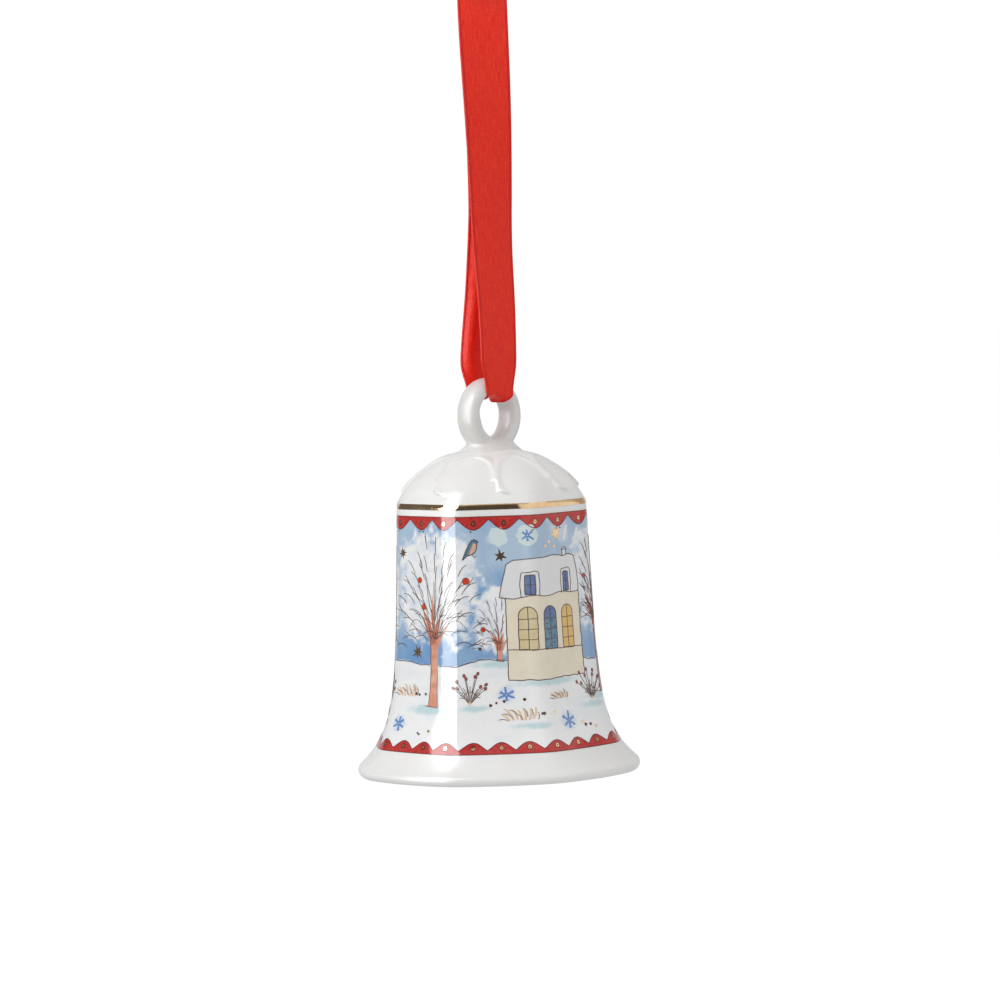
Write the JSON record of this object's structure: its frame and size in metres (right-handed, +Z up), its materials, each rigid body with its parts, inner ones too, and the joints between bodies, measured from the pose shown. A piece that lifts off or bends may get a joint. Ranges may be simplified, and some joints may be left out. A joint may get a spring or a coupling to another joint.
{
  "type": "hanging bell ornament",
  "caption": "Small octagonal porcelain bell with a hanging ring, a swinging clapper inside and a satin ribbon to hang it by.",
  "frame": {"origin": "the hanging point, in the middle of the ribbon's knot, from which everything hangs", "axes": "+Z up along the bell's axis; Y along the axis of the loop's eye; X across the loop; the bell's flats face X, Y and the diagonals"},
  "size_m": [0.0572, 0.0572, 0.1833],
  "materials": {
    "decorated_porcelain": "clear glossy glaze over a fired-on coloured picture",
    "white_porcelain": "clear glossy glaze on white porcelain",
    "gilding": "polished fired-on gold film",
    "brass_wire": "bright drawn wire",
    "red_satin": "double-faced satin with woven edges"
  },
  "bodies": {
    "knot": {"ribbon_knot": "red_satin", "ribbon_tails": "red_satin"},
    "strands": {"ribbon_front": "red_satin", "ribbon_back": "red_satin"},
    "saddle": {"ribbon_bend": "red_satin"},
    "bell": {"bell_shell": "decorated_porcelain", "hanger_loop": "white_porcelain", "loop_foot": "white_porcelain", "clapper_lug": "white_porcelain"},
    "ring": {"lug_ring": "brass_wire"},
    "clapper": {"clapper_wire": "brass_wire", "clapper_ball": "white_porcelain", "crimp_bead": "brass_wire"}
  },
  "joints": [
    {"name": "ribbon_sway", "type": "hinge", "parent": "knot", "child": "strands", "pos_m": [0, 0, 0], "axis": [1, 0, 0], "range_deg": [-30, 30]},
    {"name": "ribbon_twist", "type": "hinge", "parent": "strands", "child": "saddle", "pos_m": [0, 0, -0.083], "axis": [0, 0, 1], "range_deg": [-90, 90], "deforming": ["ribbon_front", "ribbon_back"]},
    {"name": "bell_rock", "type": "hinge", "parent": "saddle", "child": "bell", "pos_m": [0, 0, -0.09], "axis": [0, 1, 0], "range_deg": [-35, 35]},
    {"name": "ring_swing", "type": "hinge", "parent": "bell", "child": "ring", "pos_m": [0, 0, -0.1033], "axis": [0, 1, 0], "range_deg": [-17.3, 17.3]},
    {"name": "clapper_swing", "type": "hinge", "parent": "ring", "child": "clapper", "pos_m": [0, 0, -0.10701], "axis": [1, 0, 0], "range_deg": [-7, 7]}
  ]
}
